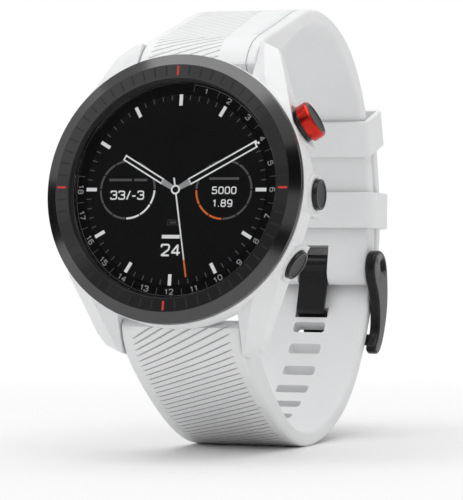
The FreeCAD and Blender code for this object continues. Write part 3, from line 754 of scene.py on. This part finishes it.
def push_cap(name, face, back, radius, angle, body, node, rim):
    """Cap with a raised rim round a dished face, on its stem."""
    dish = face - DISH
    profile = [(0, dish + DISH_CROWN), (radius - rim - 0.2, dish), (radius - rim, face), (radius, face),
               (radius, back), (STEM_R, back), (STEM_R, STEM_END), (0, STEM_END)]
    cap = lathe(name, soft_corner(profile, [0, 0.1, 0.08, 0.3, 0.1, 0, 0, 0]), 96)
    cap.data.materials.append(button_black)
    cap.data.materials.append(button_face)
    for part in cap.data.polygons:
        reach = math.hypot(part.center.x, part.center.z)
        part.material_index = 1 if reach < radius - rim and part.center.y > back + 0.5 else 0
    return settle(on_button(cap, angle), body, [node])


for which, face in CAP_FACES.items():
    push_cap("cap_" + which, face, CAP_BACK, CAP_R, BUTTON_PLACES[which], "push_" + which,
             "button_" + which, rim=0.42)
push_cap("cap_top", TOP_CAP_FACE, TOP_CAP_BACK, TOP_CAP_R, BUTTON_PLACES["top"], "push_top",
         "button_top", rim=0.3)

RING_R, RING_BORE, RING_BACK, RING_CHAMFER, RING_FACE = 3.35, 3.1, 24.35, 26.1, 26.42
red_ring = lathe("red_ring", soft_corner(
    [(RING_BORE, RING_BACK), (RING_R, RING_BACK), (RING_R, RING_CHAMFER), (RING_BORE, RING_FACE),
     (TOP_CAP_R, RING_FACE), (TOP_CAP_R, TOP_CAP_BACK), (RING_BORE, TOP_CAP_BACK)],
    [0, 0.08, 0.06, 0.05, 0, 0, 0]), 96)
settle(on_button(red_ring, BUTTON_PLACES["top"]), "push_top", ["button_top_ring"],
       red_metal)

COLLAR_R, COLLAR_LIP_R, COLLAR_BORE = 2.95, 2.5, 1.05
COLLAR_BACK, COLLAR_FLOOR, COLLAR_FACE = 22.2, 24.2, 24.5
collar = lathe("fixed_collar", soft_corner(
    [(COLLAR_BORE, COLLAR_BACK), (COLLAR_R, COLLAR_BACK), (COLLAR_R, COLLAR_FACE),
     (COLLAR_LIP_R, COLLAR_FACE), (COLLAR_LIP_R, COLLAR_FLOOR), (COLLAR_BORE, COLLAR_FLOOR)],
    [0, 0, 0.12, 0.05, 0, 0]), 96)
settle(on_button(collar, BUTTON_PLACES["top"]), "watch", ["collar_top"], button_black)


# ------------------------------------------------------------------ case

def copied(name, node):
    """A welded copy of a CAD node in the dial's frame, ready for rounding and cutting."""
    piece = bpy.data.objects.new(name, NODES[node].data.copy())
    bpy.context.scene.collection.objects.link(piece)
    piece.data.transform(TO_DIAL)
    return weld(piece, 1e-3, outward=False)


FLAT = 1e-3                      # radians: two faces that meet at less are one flat face


def round_edges(piece, width, choose, steps=3, sharp=22):
    """Bevel the sharp edges that choose() picks from their middle and length."""
    with opened(piece) as shape:
        flat = [e for e in shape.edges if len(e.link_faces) == 2 and e.calc_face_angle(0) < FLAT]
        bmesh.ops.dissolve_limit(shape, angle_limit=FLAT, verts=shape.verts, edges=flat)
        picked = []
        for edge in shape.edges:
            if len(edge.link_faces) != 2 or edge.calc_face_angle(0) < math.radians(sharp):
                continue
            if choose((edge.verts[0].co + edge.verts[1].co) / 2, edge.calc_length()):
                picked.append(edge)
        bmesh.ops.bevel(shape, geom=picked, offset=width, segments=steps, profile=0.5, affect="EDGES",
                        clamp_overlap=True)
    return piece


LUG_FROM_X, LUG_FROM_Z, SHORT_EDGE = 11.3, 12.5, 0.5


def on_lug(middle, length):
    return abs(middle.x) > LUG_FROM_X and abs(middle.z) > LUG_FROM_Z and length > SHORT_EDGE


case = copied("case_shell", "case_body")
round_edges(case, 0.22, on_lug)
settle(case, "watch", ["case_body"], polymer)


# ------------------------------------------------------------------ strap

GROOVE_PITCH = 1.42              # along the strap
GROOVE_R = 0.165
GROOVE_RISE = math.tan(math.radians(24.5))
LOOP_MIDDLE, OUTSIDE = 42.0, 70.0    # the loop's middle behind the dial, and a radius clear of it
CASE_END_Z = 20.0                # nearer the dial's middle than this, the case covers the strap
LOOKS = 360
RUN_IN = 6.0                     # how far the line runs on under the case


def outer_run(node, side, x=6.0, first=30, last=112):
    """The outer side line of a strap half at x, case end first.

    It is found by looking in from outside, at angles from first to last round the loop's middle.
    """
    tree = BVHTree.FromPolygons([TO_DIAL @ v.co for v in NODES[node].data.vertices],
                                [f.vertices[:] for f in NODES[node].data.polygons])
    centre = Vector((x, LOOP_MIDDLE, 0.0))
    line = []
    for k in range(LOOKS + 1):
        a = math.radians(first + (last - first) * k / LOOKS)
        way = Vector((0, -math.cos(a), side * math.sin(a)))
        hit = tree.ray_cast(centre + way * OUTSIDE, -way)[0]
        if hit and hit.z * side > CASE_END_Z:
            line.append(Vector((0, hit.y, hit.z)))
    return [line[0] + (line[0] - line[1]).normalized() * RUN_IN] + line


STATIONS, CUTTER_SIDES = 34, 8   # points along a groove, and round its cutter
FAN_FADE = 0.22                  # how fast the fan of the first grooves dies away, per groove
END_RUN = 0.8                    # over this length a groove rises out of the strap at its ends
END_LIFT, SINK = 0.6, 1.1        # height of its middle line at an end, and the drop from there, in radii
TIP_SHARE, TIP_SIZE = 0.06, 0.3  # the share of its length that tapers, and how thin it gets


def make_groove_tree():
    """Slanted grooves laid along a line: round cutters that thin out and lift clear at both ends."""
    tree, web, given, result = open_tree(
        "strap_grooves", "GeometryNodeTree",
        [("Geometry", GEOMETRY), ("Count", INT, 30), ("First", FLOAT, 2.0), ("Pitch", FLOAT, 1.4),
         ("Rise", FLOAT, 0.45), ("Left", FLOAT, -9.0), ("Right", FLOAT, 9.0),
         ("Right Narrowing", FLOAT, 0.0), ("Radius", FLOAT, 0.2), ("Fan", FLOAT, 0.0),
         ("Finish", MATERIAL)],
        [("Geometry", GEOMETRY)])
    route = web.node("GeometryNodeMeshToCurve", given["Geometry"])
    places = web.node("GeometryNodeMeshLine", given["Count"])
    places.inputs["Offset"].default_value = (0, 0, 1)
    one = web.node("GeometryNodeCurvePrimitiveLine")
    one.inputs["Start"].default_value = (0, 0, 0)
    one.inputs["End"].default_value = (1, 0, 0)
    fine = web.node("GeometryNodeResampleCurve", one, Count=STATIONS)
    rows = web.node("GeometryNodeInstanceOnPoints", Points=places, Instance=fine)
    real = web.node("GeometryNodeRealizeInstances", rows)
    split = web.node("ShaderNodeSeparateXYZ", web.node("GeometryNodeInputPosition")).outputs
    share, number = split[0], split[2]
    narrowed = web.maths("MULTIPLY", number, given["Right Narrowing"])
    right = web.maths("SUBTRACT", given["Right"], narrowed)
    width = web.maths("SUBTRACT", right, given["Left"])
    x = web.maths("ADD", given["Left"], web.maths("MULTIPLY", share, width))
    fading = web.maths("EXPONENT", web.maths("MULTIPLY", number, -FAN_FADE))
    rise = web.maths("ADD", given["Rise"], web.maths("MULTIPLY", given["Fan"], fading))
    stepped = web.maths("MULTIPLY", number, given["Pitch"])
    along = web.maths("ADD", given["First"], web.maths("ADD", stepped, web.maths("MULTIPLY", x, rise)))
    spot = web.node("GeometryNodeSampleCurve", Curves=route, Length=along,
                    settings={"mode": "LENGTH", "use_all_curves": False})
    where = web.node("ShaderNodeSeparateXYZ", spot.outputs["Position"]).outputs
    tangent = spot.outputs["Tangent"]
    normal = web.node("ShaderNodeVectorMath", tangent, (1.0, 0.0, 0.0),
                      settings={"operation": "CROSS_PRODUCT"})
    end = web.maths("MINIMUM", share, web.maths("SUBTRACT", 1.0, share))
    near = web.node("ShaderNodeMapRange", web.maths("MULTIPLY", end, width), 0.0, END_RUN, 0.0, 1.0,
                    settings={"interpolation_type": "SMOOTHSTEP"})
    height = web.maths("SUBTRACT", END_LIFT, web.maths("MULTIPLY", near, SINK))
    lifted = web.node("ShaderNodeVectorMath", normal, Scale=web.maths("MULTIPLY", height, given["Radius"]),
                      settings={"operation": "SCALE"})
    base = web.vector(x, where[1], where[2])
    spot_at = web.node("ShaderNodeVectorMath", base, lifted, settings={"operation": "ADD"})
    laid = web.node("GeometryNodeSetPosition", real, Position=spot_at)
    factor = web.node("GeometryNodeSplineParameter").outputs["Factor"]
    ending = web.maths("MINIMUM", factor, web.maths("SUBTRACT", 1.0, factor))
    full = web.node("ShaderNodeMapRange", ending, 0.0, TIP_SHARE, TIP_SIZE, 1.0)
    thick = web.maths("MULTIPLY", given["Radius"], full)
    sized = web.node("GeometryNodeSetCurveRadius", laid, Radius=thick)
    profile = web.node("GeometryNodeCurvePrimitiveCircle", Resolution=CUTTER_SIDES)
    profile.inputs["Radius"].default_value = 1.0
    size = web.node("GeometryNodeInputRadius")
    tube = web.node("GeometryNodeCurveToMesh", sized, profile, Scale=size)
    tube.inputs["Fill Caps"].default_value = True
    painted = web.node("GeometryNodeSetMaterial", tube, Material=given["Finish"])
    web.link(painted, result["Geometry"])
    return tree


GROOVES = make_groove_tree()


def cut(piece, cutter):
    """Take the cutter out of the piece, which gets the cutter's finish there (on the straps, the painted
    shade of the grooves), and discard the cutter.
    """
    boolean = piece.modifiers.new("grooves", "BOOLEAN")
    boolean.operation = "DIFFERENCE"
    boolean.solver = "EXACT"
    boolean.material_mode = "TRANSFER"
    boolean.object = cutter
    bake(piece)
    bpy.data.objects.remove(cutter)
    return piece


SEAM_R = 0.13


def seam_tube(line, x_first, x_last):
    """Round cutter along a strap's outer line, from one x to another."""
    radius, sides = SEAM_R, CUTTER_SIDES
    points, faces = [], []
    for i, here in enumerate(line):
        ahead = (line[min(i + 1, len(line) - 1)] - line[max(i - 1, 0)]).normalized()
        out = ahead.cross(Vector((1, 0, 0)))
        x = x_first + (x_last - x_first) * i / (len(line) - 1)
        for k in range(sides):
            a = 2 * math.pi * k / sides
            points.append(Vector((x + radius * math.cos(a), here.y, here.z))
                          + out * radius * math.sin(a))
    for i in range(len(line) - 1):
        for k in range(sides):
            m = (k + 1) % sides
            faces.append((i * sides + k, i * sides + m, (i + 1) * sides + m, (i + 1) * sides + k))
    faces += [tuple(range(sides)), tuple(len(points) - 1 - k for k in range(sides))]
    return points, faces


def grooved(name, node, side, seam=None, **values):
    """A strap half with its grooves, and its seam line if it has one, cut into the outer side.

    The seam is given as the x it starts at, the x it ends at, and how many points it follows.
    """
    line = outer_run(node, side)
    cutter = mesh_piece(name + "_cutter", line, [], [(i, i + 1) for i in range(len(line) - 1)])
    grow(cutter, GROOVES, Finish=groove_painted_shade, Radius=GROOVE_R, Pitch=GROOVE_PITCH, **values)
    weld(cutter, 1e-5)
    half = copied(name, node)
    coat(half, silicone)
    if seam:
        x_first, x_last, until = seam
        tube = weld(mesh_piece(name + "_seam", *seam_tube(line[1:until:2], x_first, x_last)), 1e-5)
        with opened(cutter) as shape:
            shape.from_mesh(tube.data)
        bpy.data.objects.remove(tube)
    # the grooves and the seam get the darker silicone, a painted shade
    coat(cutter, groove_painted_shade)
    cut(half, cutter)
    with opened(half) as shape:
        bmesh.ops.dissolve_degenerate(shape, dist=1e-4, edges=shape.edges)
        bmesh.ops.triangulate(shape, faces=[f for f in shape.faces if len(f.verts) > 3])
    return settle(half, "watch", [node], angle=24, even=False)


grooved("lower_strap", "strap_tail", -1, Count=37, First=4.9, Rise=-GROOVE_RISE, Left=-9.1, Right=9.4,
        Fan=-0.13)
grooved("upper_strap", "strap_buckle_half", 1, seam=(9.2, 8.2, 250), Count=37, First=6.6,
        Rise=GROOVE_RISE, Left=-9.3, Right=4.1, Right_Narrowing=0.1, Fan=0.0)


# ------------------------------------------------------------------ pieces that keep their CAD shape

OUTSIDE_FINISHES = {
    "keeper_upper": silicone, "keeper_lower": silicone, "buckle_frame": buckle_coat,
    "buckle_pin": buckle_coat, "back_cover": polymer, "sensor_window": window, "back_screws": steel,
    "lug_pins": steel, "charge_port": moulding, "latch_upper": steel, "latch_lower": steel}
for node, material in OUTSIDE_FINISHES.items():
    settle(copied(node + "_shown", node), BODY_OF[node], [node], material, angle=30)
tongue = copied("tongue_plate", "buckle_tongue")
round_edges(tongue, 0.16, lambda middle, length: abs(middle.x) > 2, sharp=40)
settle(tongue, "tongue", ["buckle_tongue"], buckle_coat, angle=50)


# ------------------------------------------------------------------ camera, floor and light

WATCH_MIDDLE = Vector((0, 0, 0.04))


def studio_light(name, place, size, power):
    """A softbox turned to the watch."""
    lamp = bpy.data.lights.new(name, "AREA")
    lamp.shape = "RECTANGLE"
    lamp.size, lamp.size_y = size
    lamp.energy = power
    holder = bpy.data.objects.new(name, lamp)
    holder.location = place
    holder.rotation_euler = (WATCH_MIDDLE - Vector(place)).to_track_quat("-Z", "Y").to_euler()
    bpy.context.scene.collection.objects.link(holder)


def outward(azimuth, elevation):
    """The way out from the watch, by the angle round from the dial's side and the angle up."""
    return Vector((math.sin(azimuth) * math.cos(elevation), -math.cos(azimuth) * math.cos(elevation),
                   math.sin(elevation)))


AZIMUTH, ELEVATION = math.radians(21.08), math.radians(1.10)
CAMERA_AWAY = 520                # millimetres from the dial
AIM_RIGHT, AIM_DOWN = 10.38, 10.665          # the view's middle, from the dial's
view_right = Vector((math.cos(AZIMUTH), math.sin(AZIMUTH), 0))
view_out = outward(AZIMUTH, ELEVATION)
view_up = view_out.cross(view_right)
eye = bpy.data.cameras.new("camera")
eye.lens = 220.1
eye.sensor_width = 36
eye.clip_start, eye.clip_end = 0.01, 50
camera = bpy.data.objects.new("camera", eye)
camera.matrix_world = Matrix((view_right, view_up, view_out)).transposed().to_4x4()
camera.location = DIAL_CENTRE + (view_right * AIM_RIGHT - view_up * AIM_DOWN + view_out * CAMERA_AWAY) * MM
bpy.context.scene.collection.objects.link(camera)
bpy.context.scene.camera = camera

FLOOR_TONE, FLOOR_HALF = 0.88, 4.0
FADE_FROM, FADE_TO = 0.07, 0.22  # how far from the watch the floor starts and ends turning white


def make_floor_finish():
    """White floor that takes soft shadows near the watch and runs into the white room further out."""
    made, web = empty_material("studio_floor")
    lit = web.node("ShaderNodeBsdfDiffuse", (FLOOR_TONE, FLOOR_TONE, FLOOR_TONE, 1))
    white = web.node("ShaderNodeEmission", (1, 1, 1, 1), 1.0)
    place = web.node("ShaderNodeTexCoord").outputs["Object"]
    away = web.node("ShaderNodeVectorMath", place, settings={"operation": "LENGTH"}).outputs["Value"]
    share = web.node("ShaderNodeMapRange", away, FADE_FROM, FADE_TO,
                     settings={"interpolation_type": "SMOOTHSTEP"})
    mixed = web.node("ShaderNodeMixShader", share, lit, white)
    web.node("ShaderNodeOutputMaterial", mixed)
    return made


floor_corners = [(i * FLOOR_HALF, j * FLOOR_HALF, 0) for i, j in ((-1, -1), (1, -1), (1, 1), (-1, 1))]
floor = mesh_piece("studio_floor", floor_corners, [(0, 1, 2, 3)])
floor.data.materials.append(make_floor_finish())

ROOM_LIGHT = 0.6                 # of the white room, which the camera itself sees at full white
world = bpy.data.worlds.new("studio")
bpy.context.scene.world = world
world.use_nodes = True
world.node_tree.nodes.clear()
sky = Web(world.node_tree)
seen = sky.node("ShaderNodeLightPath").outputs["Is Camera Ray"]
backdrop = sky.node("ShaderNodeBackground", (1, 1, 1, 1), 1.0)
room = sky.node("ShaderNodeBackground", (1, 1, 1, 1), ROOM_LIGHT)
both = sky.node("ShaderNodeMixShader", seen, room, backdrop)
sky.node("ShaderNodeOutputWorld", both)

studio_light("top_softbox", place=(0.0, -0.05, 0.75), size=(0.9, 0.9), power=3.9)
studio_light("left_softbox", place=(-0.7, -0.45, 0.4), size=(0.5, 0.6), power=0.6)

flag_cloth = finish("flag_cloth", (0.01, 0.01, 0.01), (0.02, 0.02, 0.02), (0.8, 0.9), height=0.0)


def flag(name, azimuth, elevation, wide, high, away=0.45):
    """Black card that only shows in reflections; its place and size are degrees seen from the watch."""
    a = math.radians(azimuth)
    way = outward(a, math.radians(elevation))
    side = Vector((math.cos(a), math.sin(a), 0)) * away * math.tan(math.radians(wide / 2))
    rise = way.cross(side).normalized() * away * math.tan(math.radians(high / 2))
    spot = WATCH_MIDDLE + way * away
    corners = [spot - side - rise, spot + side - rise, spot + side + rise, spot - side + rise]
    card = mesh_piece(name, corners, [(0, 1, 2, 3)])
    card.data.materials.append(flag_cloth)
    card.visible_camera = card.visible_diffuse = card.visible_shadow = card.visible_transmission = False


flag("flag_right_high", 31, 24, wide=34, high=17)
flag("flag_right_low", 25, -4, wide=24, high=12, away=0.36)
flag("flag_left", -71, 5, wide=18, high=16)
flag("flag_front", -17, 14, wide=20, high=17)

scene = bpy.context.scene
scene.view_settings.view_transform = "Standard"
scene.view_settings.look = "None"
